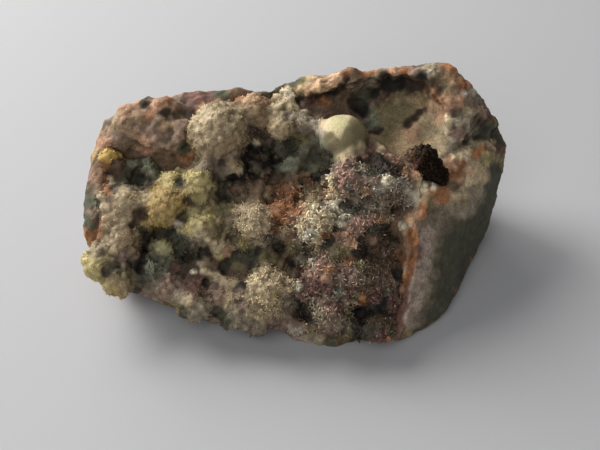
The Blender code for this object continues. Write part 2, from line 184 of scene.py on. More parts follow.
# Colours by name, as linear values
COLOURS = {
    "white": (0.78, 0.68, 0.49),
    "cream": (0.62, 0.49, 0.30),
    "beige": (0.44, 0.34, 0.20),
    "tan": (0.39, 0.28, 0.155),
    "stone": (0.30, 0.245, 0.165),
    "ash": (0.45, 0.38, 0.30),
    "grey": (0.195, 0.155, 0.105),
    "sage": (0.215, 0.22, 0.15),
    "moss": (0.078, 0.075, 0.045),
    "olive": (0.24, 0.195, 0.095),
    "khaki": (0.185, 0.15, 0.075),
    "lime": (0.53, 0.435, 0.19),
    "lichen": (0.53, 0.48, 0.25),
    "yellow": (0.66, 0.45, 0.13),
    "ochre": (0.44, 0.305, 0.11),
    "peach": (0.66, 0.42, 0.25),
    "salmon": (0.43, 0.245, 0.145),
    "clay": (0.29, 0.195, 0.115),
    "pink": (0.38, 0.225, 0.165),
    "mauve": (0.27, 0.185, 0.13),
    "maroon": (0.18, 0.09, 0.066),
    "rust": (0.31, 0.14, 0.06),
    "orange": (0.42, 0.18, 0.072),
    "brown": (0.145, 0.092, 0.052),
    "bole": (0.052, 0.034, 0.02),
    "lilac": (0.38, 0.29, 0.23),
    "umber": (0.015, 0.008, 0.004),
    "black": (0.012, 0.009, 0.006),
}

# Materials: speckle (wavelength, darkest, lightest), stain (wavelength, colour, strength), roughness (low,
# high), bump (wavelength, height) and shine
MATERIALS = {
    "aragonite_crust": ((0.35, 0.75, 1.2), (2.5, "brown", 0.3), (0.6, 0.9), (0.25, 0.06), 0.5),
    "aragonite_needles": ((0.5, 0.8, 1.25), (1.8, "brown", 0.2), (0.5, 0.75), (0.2, 0.03), 0.5),
    "host_rock": ((0.45, 0.6, 1.35), (3.5, "bole", 0.35), (0.75, 0.95), (0.4, 0.16), 0.5),
    "iron_oxide": ((0.5, 0.6, 1.4), (1.2, "bole", 0.15), (0.6, 0.85), (0.25, 0.05), 0.12),
}
NOISE_RANGE = (0.3, 0.7)
CLOUD_RANGE = (0.45, 0.7)
BUMP_STRENGTH = 0.7
FLOOR_COLOUR = (0.465, 0.465, 0.475, 1)

# Marks on the crust by colour, in tenths of a millimetre, as the camera sees them: across, up, radius
# and how far they rise or sink, which level ones leave out
# Black and bole marks that sink are partly dark mineral and partly painted shade in the pits and recesses
ON_CRUST = {
    "yellow": [(-395, 138, 15, 8), (-372, 138, 12, 5), (-414, 140, 10, 3)],
    "orange": [(-390, 124, 12), (-44, 26, 20, 4), (-14, 32, 14, 4), (124, -149, 9, 6), (182, -233, 10, 3)],
    "bole": [
        (-396, 108, 19, -6), (-229, -94, 22, -5), (-222, -68, 13, -4), (-183, -53, 11, -6),
        (-153, -83, 13, -5), (-153, 124, 8, -4), (-172, 94, 8, -3), (-74, 130, 13), (-43, -45, 10, -6),
        (-10, 44, 8, -3), (-46, 4, 10, -3), (41, 44, 5, -4), (55, -32, 12, -7), (140, 129, 17, -10),
        (180, 122, 13, -6), (194, 108, 12, -5), (88, 42, 8, -3), (182, -14, 16, -5), (196, -16, 13, -4),
        (123, -34, 10, -4), (123, -55, 12, -3), (17, -180, 10, -4), (30, -194, 11, -3), (83, -214, 9, -4),
    ],
    "brown": [
        (-364, 116, 18), (-380, 53, 9, -5), (-315, 24, 14, -4), (-222, 46, 9, -6), (-354, -15, 11, -7),
        (-332, -4, 10, -6), (-194, -138, 15, -3), (-178, -78, 14, -3), (-134, -102, 13, -2),
        (-106, -98, 10, -2), (-186, -144, 10, -2), (-24, 89, 19, -1), (140, 166, 12), (-30, -64, 17),
        (214, 122, 8, 2), (216, 138, 8, 3), (146, -33, 14, 10), (170, -32, 13, -3), (140, -57, 10),
        (150, -72, 13, 3), (190, -74, 12), (144, -96, 10, 2), (170, -92, 12), (134, -124, 11),
        (150, -192, 14, 4), (183, -208, 9, 3), (-5, -190, 13, -1),
    ],
    "moss": [
        (-330, 104, 26), (-325, 84, 17, -5), (-240, 86, 10, -8), (-420, 55, 17, -4), (-418, 20, 18, -4),
        (-370, 72, 9, -6), (-386, -93, 10, -6), (-364, -84, 10, -6), (-338, -76, 9, -6), (-310, -20, 10, -6),
        (-285, -18, 10, -6), (-262, -13, 10, -6), (-312, -108, 10), (-324, -135, 9, -4), (-202, -50, 18, -7),
        (-234, -176, 12, 1), (-170, -172, 10, -3), (-156, -188, 15, 1), (-60, 156, 12), (-20, 150, 14),
        (10, 134, 10, 6), (26, 146, 13, 1), (28, 126, 14, -2), (8, 114, 10, -2), (54, 140, 20),
        (54, 114, 16, 2), (-154, 54, 13, -5), (-115, -60, 16, 2), (-90, -74, 14), (-83, -52, 9, -5),
        (-100, -83, 9, -5), (58, -42, 8, -4), (146, 106, 13, -4), (110, 32, 11, -4), (138, -12, 11, -6),
        (163, -6, 10, -5), (148, -208, 13), (180, -218, 8, -2), (2, -168, 14, -3), (130, -216, 12),
    ],
    "sage": [
        (-298, 113, 16, 9), (-336, 124, 10, 4), (-250, -27, 9, 2), (-244, -53, 9, -3), (-232, -34, 10, 3),
        (-276, -74, 22, 6), (-302, -89, 13, 5), (-44, 150, 13, 4), (-33, 112, 14, 5), (-18, 129, 13, 7),
        (-11, 114, 9, 5), (3, 148, 12, 3), (32, 110, 13, 4), (29, 171, 9, 4), (44, 161, 13, 3),
        (95, 78, 8, 1), (75, -134, 10, 5),
    ],
    "black": [
        (-273, 130, 17, -10), (-260, 116, 10, -6), (-233, 16, 11, -10), (-318, -83, 13, -8),
        (-310, -45, 11, -8), (-126, -124, 7, -4), (-112, -118, 6, -4), (-188, -116, 8, -3),
        (-110, 135, 10, -8), (-103, 110, 11, -8), (-94, 150, 14, -8), (-120, 92, 14, -8), (-90, 95, 10, -6),
        (-140, 92, 8, -5), (-50, 130, 13, -6), (-62, 114, 15, -5), (32, 89, 10, -8), (-16, -80, 8, -5),
        (73, -6, 6, -4), (73, 92, 6, -3), (156, 119, 21, -11), (192, 30, 8, -5), (196, 16, 9, -5),
        (192, -96, 12, -4), (122, -176, 14, -10), (115, -200, 13, -5), (140, -170, 10, -4),
        (165, -164, 12, -5), (113, -228, 14, -4),
    ],
    "lime": [
        (-260, 93, 17, 10), (-210, 90, 20, 7), (-186, 84, 15, 5), (-196, 56, 15, 6), (-210, 64, 14, 3),
        (-214, 6, 24, 7), (-186, 14, 20, 5), (-418, -76, 28, 8), (-382, -129, 19, 6), (-398, -118, 12, 4),
        (-115, -36, 13, 6), (-160, -65, 8, 4),
    ],
    "pink": [
        (-424, 100, 12), (80, 106, 17, 4), (96, 122, 15, 5), (96, 88, 19, 5), (125, 146, 10, 5),
        (146, 152, 10, 6), (180, 138, 10, 5), (105, -10, 13, 6), (84, -28, 10, 4), (110, 4, 11, 5),
        (126, 4, 10, 5), (142, 7, 11, 5), (147, -32, 7), (43, -72, 9, 4), (30, -94, 9, 3), (8, -140, 12, 2),
        (62, -165, 10, 2),
    ],
    "cream": [
        (-403, 74, 8, 8), (-400, 54, 8, 8), (-395, 34, 8, 8), (-383, 90, 9, 6), (-198, -18, 20, 4),
        (-424, -36, 14, 3), (-194, -76, 9, 5), (-192, -94, 9, 5), (-173, -106, 10, 6), (-152, -112, 10, 6),
        (-134, -116, 9, 5), (-186, 204, 20, 5), (-83, 167, 8, 5), (-45, 253, 14, 6), (-43, 240, 10, 5),
        (-19, 236, 9, 5), (-123, 112, 12, 6), (52, 202, 14), (90, 222, 11), (72, 186, 9), (-114, 36, 14, 3),
        (-88, 24, 20, 8), (-96, -8, 23, 8), (-120, -4, 15, 4), (-66, -4, 15, 4), (-90, -32, 12, 5),
        (-132, -42, 8, 4), (-165, -49, 16, 9), (-29, -13, 12, 4), (-63, 58, 7, 4), (22, 54, 20, 8),
        (14, 69, 11, 4), (34, 76, 13, 4), (64, 52, 10, 4), (10, 10, 16, 5), (32, 12, 18, 6), (56, 16, 15, 5),
        (32, -28, 15, 5), (0, -6, 14, 5), (-1, -36, 12, 6), (26, -42, 13, 6), (102, 148, 12, 7),
        (86, 136, 10, 6), (119, 158, 11, 7), (62, 90, 12, 3), (52, 84, 12, 3), (163, 153, 9, 5),
        (236, 82, 10, 3), (181, 12, 8, 3), (-75, -88, 18, 4), (-85, -112, 19, 4), (-74, -144, 18, 5),
        (-24, -120, 14, 4), (-18, -96, 10, 4),
    ],
    "peach": [(-389, 14, 8, 8), (-102, 250, 17, 5), (7, 46, 8, 3), (49, 62, 11, 4), (103, -34, 13, 6)],
    "beige": [
        (-384, -6, 9, 8), (-355, 48, 26, 10), (-360, 16, 22, 4), (-326, 54, 20, 6), (-374, -36, 23, 6),
        (-224, -154, 13, 5), (-137, -148, 17, 8), (-204, 156, 22, 6), (-180, 170, 26, 3), (-152, 220, 22, 5),
        (-120, 226, 20, 4), (-156, 190, 22, 2), (-126, 190, 22, -1), (-172, 144, 18, 2), (-144, 244, 12, 2),
        (-40, 194, 23, 8), (-32, 189, 13, 3), (-56, 226, 13, 3), (-76, 272, 16, 4), (-135, 128, 10, 5),
        (-210, 122, 14, 4), (-120, 48, 16, 3), (-94, 46, 15, 3), (-130, 16, 18, 4), (-136, -16, 18, 5),
        (-70, 22, 13, 3), (102, -165, 12, 5), (20, -212, 15, 3), (-46, -96, 17, 3), (-60, -114, 14),
        (-42, -130, 18, 3), (-98, -146, 19, 4), (-80, -174, 20, 4), (-52, -170, 20, 3),
    ],
    "rust": [
        (-385, 69, 12, -5), (-416, -15, 19, -2), (-128, 250, 12), (20, 84, 11), (-34, 74, 16),
        (-48, -10, 11, -2), (-44, 54, 20, 2), (-16, 60, 16, 3), (6, 28, 7, 2), (52, -24, 8), (60, -87, 10, 2),
        (98, -72, 9, 2),
    ],
    "ochre": [(-265, 38, 34, 8), (-242, 48, 16, 4), (-284, 14, 26, 4), (-374, -142, 16, 3), (-54, -144, 8)],
    "ash": [
        (-243, 2, 7, 3), (26, 202, 10, 2), (40, 183, 8, 3), (50, 36, 11, 2), (156, 70, 8, 4),
        (207, 82, 14, 6), (216, 50, 11, 4), (222, 34, 10, 3), (213, 16, 8, 2), (-2, -70, 11, 4),
        (28, -72, 8, 3), (-6, -209, 17, 3),
    ],
    "olive": [
        (-174, 64, 15, 3), (-200, 34, 16, 3), (-170, -8, 19, 3), (-386, -66, 18, 2), (-346, -99, 18, 4),
        (-250, -166, 11, 2), (-122, -88, 13), (-30, 234, 8, -4), (-7, 204, 9, -3), (4, 170, 17),
        (60, 176, 8, -3), (112, 220, 10), (-150, 28, 14, -2), (-66, -65, 16, 2), (-15, -50, 14, 2),
        (75, -56, 18, 5), (112, -146, 7), (93, -180, 10), (93, -226, 15, 1),
    ],
    "stone": [
        (-202, -36, 12, 2), (-406, -50, 18, 1), (-300, -129, 17, 6), (-242, -146, 13, 6), (-210, -170, 17, 4),
        (-202, -192, 18, 3), (-133, -172, 14, 4), (-194, -166, 18, 3), (-124, -194, 13, 3), (-104, 170, 9, 2),
        (-30, 219, 13, 1), (6, 216, 14, 4), (-128, 146, 13, 3), (-146, 112, 11, 5), (-190, 122, 10, 3),
        (-232, 132, 11, 3), (-88, 114, 10, 5), (-135, 74, 17, 4), (-68, -35, 13, 4), (75, 128, 9, 4),
        (127, 110, 10, 5), (112, 50, 12, 5), (146, 34, 9, 5), (163, 35, 10, 5), (15, -63, 16, 5),
        (25, -156, 9, 3), (30, -169, 14, 5), (42, -186, 16, 5), (82, -200, 12, 3), (106, -194, 9, 2),
        (-20, -154, 14, 2),
    ],
    "tan": [
        (-340, -30, 22, 5), (-374, -112, 15), (-346, -123, 18, 3), (-120, 166, 20, 3), (-144, 156, 18, 2),
        (-92, 232, 22, 6), (-74, 214, 19, 2), (-62, 192, 15, 3), (-154, 8, 12, 2), (-35, -83, 12, 2),
    ],
    "mauve": [
        (-354, -64, 20, 5), (-260, -126, 24, 6), (-174, -124, 17, 3), (-164, -142, 14, 3),
        (-123, -134, 10, 1), (-118, -160, 11, 1), (-92, 192, 13, -5), (-80, 182, 12), (-150, 134, 14, 2),
        (-176, 124, 15, 3), (120, 86, 12, 4), (147, 88, 10, 5), (175, 68, 8, 3), (92, 57, 14, 6),
        (173, 24, 10, 1), (192, 42, 11, 3), (202, 52, 11, 4), (176, -58, 11, 3), (200, -50, 9, 2),
        (156, -88, 8, 3), (170, -114, 12, 2), (58, -58, 10, 2), (63, -72, 12, 2), (78, -80, 9, 4),
        (14, -88, 11, 4), (84, -106, 14, 5), (110, -108, 13, 5), (126, -112, 9, 3), (104, -90, 9, 2),
        (95, -142, 10, 1), (84, -144, 12, 3), (50, -150, 14, 2), (62, -182, 15, 4), (60, -204, 18, 4),
        (146, -244, 9, 2), (-50, -202, 18, 2), (-22, -198, 14, 2),
    ],
    "lichen": [(-274, -46, 22, 18), (70, 198, 15), (86, 208, 13), (66, 218, 13)],
    "grey": [
        (-294, -112, 10, 2), (-62, 168, 11, 2), (10, 196, 22, 5), (-162, 108, 10, 3), (-155, 92, 9, 3),
        (-150, 76, 10), (-50, -34, 11, 1), (114, 110, 9), (132, 50, 19, -3), (136, 28, 14, -2),
        (172, -133, 9, 3), (-26, -176, 13, 1), (-84, -208, 15, 1),
    ],
    "maroon": [
        (-212, -120, 20, -3), (-248, -86, 10), (208, 142, 9, 3), (86, -92, 9, 2), (0, -99, 12),
        (32, -112, 10, 3), (30, -132, 19, 3), (52, -128, 14, 3), (108, -130, 9, 4), (148, -140, 13, 3),
        (80, -164, 10), (185, -162, 11, 5), (164, -225, 13, 3), (162, -242, 11),
    ],
    "white": [
        (-214, -93, 5, 3), (-26, 268, 9, 5), (72, 34, 16, 6), (82, 8, 15, 6), (14, -26, 22, 8),
        (173, 88, 12, 9), (226, 62, 15, 6), (-2, -123, 9, 5),
    ],
    "salmon": [
        (-72, 252, 13, 2), (-148, -52, 9, 3), (-20, -28, 10, 2), (-12, 16, 12, 3), (195, 134, 10, 4),
        (132, 64, 10, 4), (228, 94, 12, 4), (214, 106, 8, 3), (90, -20, 15, 6), (156, 11, 10, 4),
        (123, -14, 6, 3), (50, -108, 12, 7),
    ],
    "clay": [(-60, 90, 20), (2, 90, 16), (-100, 76, 21), (-84, 58, 16, -1)],
    # The khaki marks on the ball's lower side are partly painted shade, and its cream and lichen top partly
    # painted highlight
    "khaki": [
        (112, 204, 13), (128, 188, 16), (100, 189, 11), (106, 174, 14), (90, 174, 12), (106, 158, 13),
        (84, 160, 13), (62, 166, 13), (42, 180, 10), (80, 146, 12), (136, 204, 10), (125, -83, 12, 3),
    ],
}

# Marks on the rock, in the same way
# Black and bole marks that sink, under the back rim's ledge, in the hollow and between the top-left lumps,
# are partly dark stone and partly painted shade
ON_ROCK = {
    "salmon": [
        (-344, 236, 22, 6), (-284, 244, 17, 7), (-250, 232, 9, 2), (-392, 166, 18, 6), (-314, 168, 16, 6),
        (-304, 150, 10, 4), (-414, 174, 14, 2), (186, 310, 12, 4), (226, 182, 18, 1), (290, 130, 14, 2),
        (308, 288, 17, 3), (300, 254, 17, 3), (288, 244, 12, 2), (324, 300, 12, 2), (320, 248, 12, 2),
        (310, 122, 12, 4), (324, 92, 11, 3), (211, -30, 6, 4), (212, -42, 7, 5), (214, -55, 7, 5),
        (213, -80, 6, 4), (204, -128, 6, 3),
    ],
    "clay": [
        (-360, 206, 22, 8), (-324, 214, 19, 6), (-270, 196, 16, 7), (-390, 188, 17, 4), (-332, 172, 15, 4),
        (-218, 182, 15, 4), (310, 270, 10, 1),
    ],
    "bole": [
        (-308, 244, 10, -7), (-270, 222, 10, -6), (-246, 224, 10, -6), (-220, 222, 11, -6),
        (106, 248, 13, -2), (222, 286, 15, 1), (242, 276, 13), (214, 270, 14), (276, 266, 10, -4),
        (152, 189, 10, -3), (214, 204, 10, -9), (228, 214, 8, -9), (238, 224, 7, -8), (249, 231, 6, -6),
        (364, 205, 12, -3), (356, 172, 9, -3), (336, 177, 7, -3), (400, 161, 9, -2), (104, -240, 12, 1),
    ],
    "rust": [
        (-266, 256, 13, 3), (-304, 218, 10, 2), (-430, -20, 14), (94, 308, 11, 4), (140, 310, 12, 2),
        (128, 300, 10, 1), (46, 247, 11, 3), (210, 311, 11, 3), (262, 264, 13, 3), (274, 252, 9, 1),
        (295, 312, 14, 4), (328, 120, 13, 3), (302, 108, 12, 2), (320, 106, 12, 2), (226, -56, 9),
        (216, -114, 9),
    ],
    "mauve": [
        (-244, 246, 15, 4), (-238, 210, 17, 6), (-300, 194, 15, 4), (-360, 172, 16, 4), (-280, 174, 14, 4),
        (-250, 172, 15, 5), (40, 229, 13, 2), (14, 233, 10, 2), (106, 278, 13, 7), (190, 299, 8, 3),
        (228, 310, 11, 3), (320, 190, 8, 2), (336, 248, 13, 2), (364, 230, 16, 2), (322, 172, 15, 3),
        (314, 184, 12, 2), (-10, -224, 13, 3),
    ],
    "maroon": [
        (-220, 252, 17, 3), (-202, 250, 16, 2), (-184, 252, 12, 2), (22, 244, 12, 3), (380, 153, 7, -4),
        (402, 150, 9), (237, -48, 8), (235, -68, 7), (208, -142, 10, 2), (206, -165, 11, 2),
        (202, -184, 11, 1), (198, -202, 11, 1), (203, -222, 10), (146, -250, 12, 2),
    ],
    "moss": [
        (-230, 156, 13, -3), (-160, 262, 16), (-432, 50, 18), (-434, 0, 18), (-90, 266, 14), (-44, 282, 12),
        (-14, 288, 12), (124, 256, 19), (364, 186, 18), (386, 190, 17), (402, 176, 14), (388, 122, 8, -2),
        (392, 104, 16), (290, -40, 24), (280, -80, 20), (320, -30, 30), (314, -90, 28), (344, -40, 20),
        (360, 0, 26), (376, 42, 22), (386, 80, 17), (275, -130, 20), (290, -150, 20), (264, -170, 20),
        (240, -206, 19), (60, -234, 13, 3), (126, -240, 12, 2),
    ],
    "peach": [
        (-190, 228, 16, 4), (-164, 242, 14, 5), (18, 274, 13, 5), (38, 278, 14, 6), (58, 287, 14, 6),
        (76, 299, 13, 6), (268, 234, 16, 2), (278, 214, 14, 1), (339, 104, 12, 4), (220, 8, 11, 3),
        (236, 26, 8, 2), (209, -18, 6, 4), (209, -91, 7, 5),
    ],
    "stone": [
        (-380, 220, 16, 2), (146, 289, 13, 7), (264, 306, 16, 8), (334, 210, 15, 3), (344, 174, 7, 3),
        (306, 158, 15, 1), (355, 60, 19, 2), (330, 30, 19, 1), (310, 34, 14, 2), (14, -227, 13, 4),
        (38, -231, 12, 4),
    ],
    "pink": [(-430, 110, 16, 2)],
    "ochre": [(-426, 144, 14, 2)],
    "brown": [
        (-290, 262, 14), (-120, 266, 16), (114, 310, 12, 3), (162, 309, 10, 2), (64, 249, 11, 2),
        (84, 260, 13, 1), (74, 236, 12, 2), (266, 284, 12), (254, 258, 10, 1), (175, 252, 12, 3),
        (390, 220, 16, 1), (355, 210, 12, -3), (308, 78, 11, 1), (82, -238, 12, 3),
    ],
    "cream": [
        (-24, 267, 9, 6), (280, 142, 13, 2), (297, 208, 10, 4), (288, 190, 12, 4), (335, 146, 12, 4),
        (320, 140, 12, 3), (345, 120, 12, 4), (344, 89, 15, 5),
    ],
    "tan": [
        (-2, 270, 12, 5), (26, 294, 10, 2), (48, 302, 9, 1), (226, 250, 15, 1), (190, 166, 18, 1),
        (210, 158, 18), (200, 186, 15), (250, 248, 18, 2), (250, 160, 16), (290, 294, 14, 3),
        (295, 270, 13, 3), (252, 54, 12, 2), (264, 44, 14, 1),
    ],
    "olive": [
        (6, 291, 9, 1), (204, 250, 18, 1), (170, 222, 20, 1), (190, 206, 20, 1), (170, 172, 13, 2),
        (392, 136, 12, 1), (406, 130, 12), (328, 52, 6, -3), (212, -220, 14),
    ],
    "black": [
        (5, 253, 7, -5), (20, 257, 7, -5), (37, 257, 7, -5), (54, 260, 7, -5), (70, 266, 7, -5),
        (83, 277, 7, -5), (93, 291, 7, -4), (120, 234, 14, -4), (144, 266, 13, -2), (172, 287, 16, -5),
        (174, 270, 11, -4), (166, 300, 8, -3), (198, 286, 15, -5), (244, 296, 12, -3), (130, 224, 10, -3),
    ],
    "grey": [
        (125, 285, 11, 5), (354, 250, 15, 2), (366, 260, 12), (384, 244, 14), (340, 188, 14, 3),
        (265, 15, 16, 1), (285, 30, 13, 1), (290, 0, 20), (276, -6, 12), (272, -34, 12), (268, -64, 12),
        (264, -96, 12), (258, -128, 12), (252, -158, 12), (242, -184, 11),
    ],
    "khaki": [(208, 232, 18)],
    "sage": [(146, 218, 13, 4), (147, 202, 12, 3)],
    "beige": [
        (244, 188, 20, 1), (256, 212, 18, 1), (275, 160, 14, 1), (276, 188, 10, 2), (295, 170, 9, 3),
        (340, 227, 10, 5), (340, 158, 9, 5), (355, 163, 8, 5), (370, 163, 8, 5), (384, 161, 8, 4),
        (360, 120, 15, 3), (364, 98, 16, 2), (315, 55, 18, 3),
    ],
    "white": [
        (307, 209, 5, 3), (314, 203, 4, 2), (292, 185, 4, 2), (306, 172, 4, 2), (347, 265, 7, 3),
        (332, 132, 6, 2), (242, 71, 9, 4), (270, 78, 8, 2), (207, -4, 9, 6), (235, 45, 9, 4),
    ],
    "orange": [
        (328, 278, 9, 4), (365, 151, 9), (352, 138, 12, 3), (275, 60, 17, 2), (290, 55, 12, 2),
        (246, 40, 10, 3), (243, 24, 10, 2), (223, -16, 10, 1), (224, -34, 10, 1), (224, -76, 9),
        (219, -96, 8), (215, -68, 6, 4), (206, -104, 7, 4), (205, -116, 6, 4),
    ],
    "ash": [(335, 264, 11, 4)],
    "lime": [(378, 135, 15, 2)],
    "lilac": [
        (260, -20, 16, 1), (252, -50, 14, 1), (246, -85, 18, 1), (240, -120, 19, 1), (232, -154, 16, 1),
        (226, -190, 16, 1),
    ],
}

# Marks on the dark crystals, in the same way
ON_CLUSTER = {
    "brown": [(222, 142, 10)],
    "maroon": [(226, 128, 10)],
    "bole": [(240, 138, 12)],
    "umber": [(242, 116, 8), (254, 136, 15), (260, 116, 16), (276, 102, 16), (288, 90, 14)],
}

# Where the rock shows no mark: its colours, and how wide their stretches are in millimetres
GROUND_COLOURS = ("brown", "moss", "mauve", "rust")
GROUND_SPREAD = 13.0
GROUND_CONTRAST = 4

# Stretches of the crust that are smooth: across, up, radius, how smooth
BARE_PATCHES = [
    (8.6, 18.4, 5.4, 1.0), (7.6, -5.6, 1.8, 0.8), (14.6, -3.3, 1.4, 0.9), (15.0, 12.2, 2.2, 0.6),
    (2.4, 5.4, 1.7, 0.6), (5.0, -10.8, 0.9, 0.7), (12.4, -14.9, 0.8, 0.8), (10.2, 14.8, 1.0, 0.8),
    (11.9, 15.8, 1.0, 0.8), (8.6, 13.6, 0.9, 0.7), (17.3, 8.8, 1.0, 0.8), (-40.0, 5.4, 1.6, 0.6),
]

# Stretches of the rock that are grainy, and that are smooth: across, up, radius, how much
GRAINY_PATCHES = [
    (-36.0, 21.0, 6.0, 0.8), (-29.0, 21.0, 7.0, 0.8), (-22.0, 20.0, 6.0, 0.8), (-12.0, 27.0, 5.0, 0.6),
    (31.0, 10.5, 3.4, 0.8), (31.5, 26.5, 4.6, 0.5), (2.0, -23.0, 4.0, 0.9), (9.0, -24.0, 4.0, 0.9),
]
SMOOTH_PATCHES = [
    (22.0, 19.0, 6.6, 0.8), (27.0, 5.4, 3.2, 0.9), (22.0, -5.0, 2.4, 0.6), (36.0, 10.0, 4.0, 0.6),
    (30.0, -6.0, 9.0, 0.75), (27.0, -15.0, 8.0, 0.75), (36.0, 3.0, 7.0, 0.75),
]

# Stretches of the crust whose needles are long and stand out: across, up, radius, how much
NEEDLED_PATCHES = [
    (4.0, 4.0, 5.5, 1.0), (2.0, -2.5, 5.0, 1.0), (10.0, 7.0, 6.5, 1.0), (17.0, 7.0, 6.0, 0.8),
    (12.0, -2.0, 6.0, 1.0), (7.0, -12.0, 9.0, 1.0), (16.0, -10.0, 6.0, 0.8), (-3.0, 3.0, 4.5, 0.8),
    (-10.0, -1.0, 5.0, 0.6), (-7.0, -13.0, 6.0, 0.5), (15.0, -19.0, 7.0, 0.8), (4.0, -19.0, 5.0, 0.7),
]

# Where the rock is fibrous, and which way its fibres run across and up
FIBROUS_PATCHES = [(35.6, 19.6, 4.6, 1.0)]
FIBRES = (0.8, 0.6)


def face_matrix():
    """From the face frame, in millimetres, to the world, in metres."""
    s, c = math.sin(FACE_TILT), math.cos(FACE_TILT)
    turn = Matrix(((1, 0, 0), (0, s, -c), (0, c, s))).to_4x4()
    return Matrix.Translation(Vector(FACE_ORIGIN) * MM) @ turn @ Matrix.Scale(MM, 4)


def listed(groups):
    """The groups' marks one by one, in millimetres: across, up, radius, colour and rise."""
    marks = []
    for name, rows in groups.items():
        for across, up, radius, *rise in rows:
            marks.append((across / 10, up / 10, radius / 10, name, sum(rise) / 10))
    return marks


TO_WORLD = face_matrix()
TO_FACE = TO_WORLD.inverted()
CRUST_MARKS = listed(ON_CRUST)
ROCK_MARKS = listed(ON_ROCK)
CLUSTER_MARKS = listed(ON_CLUSTER)


def moved(points, matrix):
    turned = np.array(matrix, float)
    return points @ turned[:3, :3].T + turned[:3, 3]


def unit(vectors):
    return vectors / np.maximum(np.linalg.norm(vectors, axis=1, keepdims=True), 1e-12)


def wave(points, size, seed):
    """Smooth noise from -1 to 1 at each point; size is its wavelength."""
    grid = points / size + SEED_SHIFT * seed
    cell = np.floor(grid).astype(np.int64)
    part = grid - cell
    part = part * part * (3 - 2 * part)
    total = np.zeros(len(points))
    for corner in itertools.product((0, 1), repeat=3):
        key = (cell + corner) * CELL_PRIMES
        mixed = (key[:, 0] ^ key[:, 1] ^ key[:, 2] ^ (seed * SEED_PRIME)) & ALL_BITS
        mixed = ((mixed ^ (mixed >> 15)) * MIX_PRIMES[0]) & ALL_BITS
        mixed = ((mixed ^ (mixed >> 13)) * MIX_PRIMES[1]) & ALL_BITS
        value = (mixed ^ (mixed >> 16)) / (ALL_BITS >> 1) - 1
        total += value * np.prod(np.where(corner, part, 1 - part), axis=1)
    return total


def waves(points, size, octaves, seed):
    """Noise with finer and finer detail, each octave half as long and half as high."""
    return sum(wave(points, size / 2**i, seed + i) / 2**i for i in range(octaves))


class Surface:
    """A closed mesh of triangles in the face frame, as arrays."""

    def __init__(self, points, faces):
        self.points = points
        self.faces = faces
        ends = np.concatenate([faces[:, [0, 1]], faces[:, [1, 2]], faces[:, [2, 0]]])
        self.edges = np.unique(np.sort(ends, axis=1), axis=0)
        self.neighbours = np.bincount(self.edges.ravel(), minlength=len(points))

    def face_normals(self):
        a, b, c = (self.points[self.faces[:, i]] for i in range(3))
        return np.cross(b - a, c - a)

    def normals(self):
        flat = self.face_normals()
        total = np.zeros_like(self.points)
        for corner, axis in itertools.product(range(3), range(3)):
            total[:, axis] += np.bincount(self.faces[:, corner], flat[:, axis], len(self.points))
        return unit(total)

    def averaged(self, values):
        """Each point's values made the mean of its neighbours'."""
        a, b = self.edges.T
        count = len(self.points)
        sums = [
            np.bincount(a, values[b, i], count) + np.bincount(b, values[a, i], count)
            for i in range(values.shape[1])
        ]
        return np.stack(sums, axis=1) / self.neighbours[:, None]

    def smoothed(self, rounds, factor=0.6):
        points = self.points
        for _ in range(rounds):
            points = points + factor * (self.averaged(points) - points)
        return points

    def relief(self, rounds):
        """How far each point stands above the smoothed surface; below it is negative."""
        return np.sum((self.points - self.smoothed(rounds)) * self.normals(), axis=1)

    def push(self, heights):
        self.points = self.points + self.normals() * heights[:, None]


def mesh_of(name, points, faces):
    mesh = bpy.data.meshes.new(name)
    mesh.vertices.add(len(points))
    mesh.vertices.foreach_set("co", np.asarray(points, np.float32).ravel())
    mesh.loops.add(faces.size)
    mesh.loops.foreach_set("vertex_index", np.asarray(faces, np.int32).ravel())
    mesh.polygons.add(len(faces))
    mesh.polygons.foreach_set("loop_start", np.arange(0, faces.size, 3, dtype=np.int32))
    mesh.update(calc_edges=True)
    return mesh


def surface_of(mesh, matrix=None):
    mesh.calc_loop_triangles()
    points = np.zeros(len(mesh.vertices) * 3, np.float32)
    mesh.vertices.foreach_get("co", points)
    faces = np.zeros(len(mesh.loop_triangles) * 3, np.int32)
    mesh.loop_triangles.foreach_get("vertices", faces)
    points = points.reshape(-1, 3).astype(float)
    if matrix is not None:
        points = moved(points, matrix)
    return Surface(points, faces.reshape(-1, 3))


def cad_surface(node):
    return surface_of(frame["nodes"][node].data, TO_FACE)


def remeshed(surface, voxel):
    ob = bpy.data.objects.new("remesh", mesh_of("remesh", surface.points, surface.faces))
    bpy.context.scene.collection.objects.link(ob)
    mod = ob.modifiers.new("Remesh", "REMESH")
    mod.mode = "VOXEL"
    mod.voxel_size = voxel
    bpy.context.view_layer.update()
    depsgraph = bpy.context.evaluated_depsgraph_get()
    result = surface_of(ob.evaluated_get(depsgraph).to_mesh())
    bpy.data.objects.remove(ob, do_unlink=True)
    return result


def ball():
    """A unit ball of 80 triangles, as points and faces."""
    bm = bmesh.new()
    bmesh.ops.create_icosphere(bm, subdivisions=2, radius=1)
    points = np.array([vert.co[:] for vert in bm.verts])
    faces = np.array([[vert.index for vert in face.verts] for face in bm.faces])
    bm.free()
    return points, faces


def with_balls(surface, centres, radii):
    """The surface and balls as one mesh, still to be run together by a remesh."""
    points, faces = ball()
    placed = centres[:, None] + points[None] * radii[:, None, None]
    numbered = faces[None] + len(points) * np.arange(len(centres))[:, None, None]
    return Surface(
        np.concatenate([surface.points, placed.reshape(-1, 3)]),
        np.concatenate([surface.faces, numbered.reshape(-1, 3) + len(surface.points)]),
    )


def tree_of(surface):
    return BVHTree.FromPolygons(surface.points.tolist(), surface.faces.tolist())


def place_tree(places):
    tree = kdtree.KDTree(len(places))
    for i, place in enumerate(places.tolist()):
        tree.insert(place, i)
    tree.balance()
    return tree


def from_nearest(points, carrier, values):
    """The values of the carrier's nearest points."""
    tree = place_tree(carrier)
    return values[[tree.find(point)[1] for point in points.tolist()]]


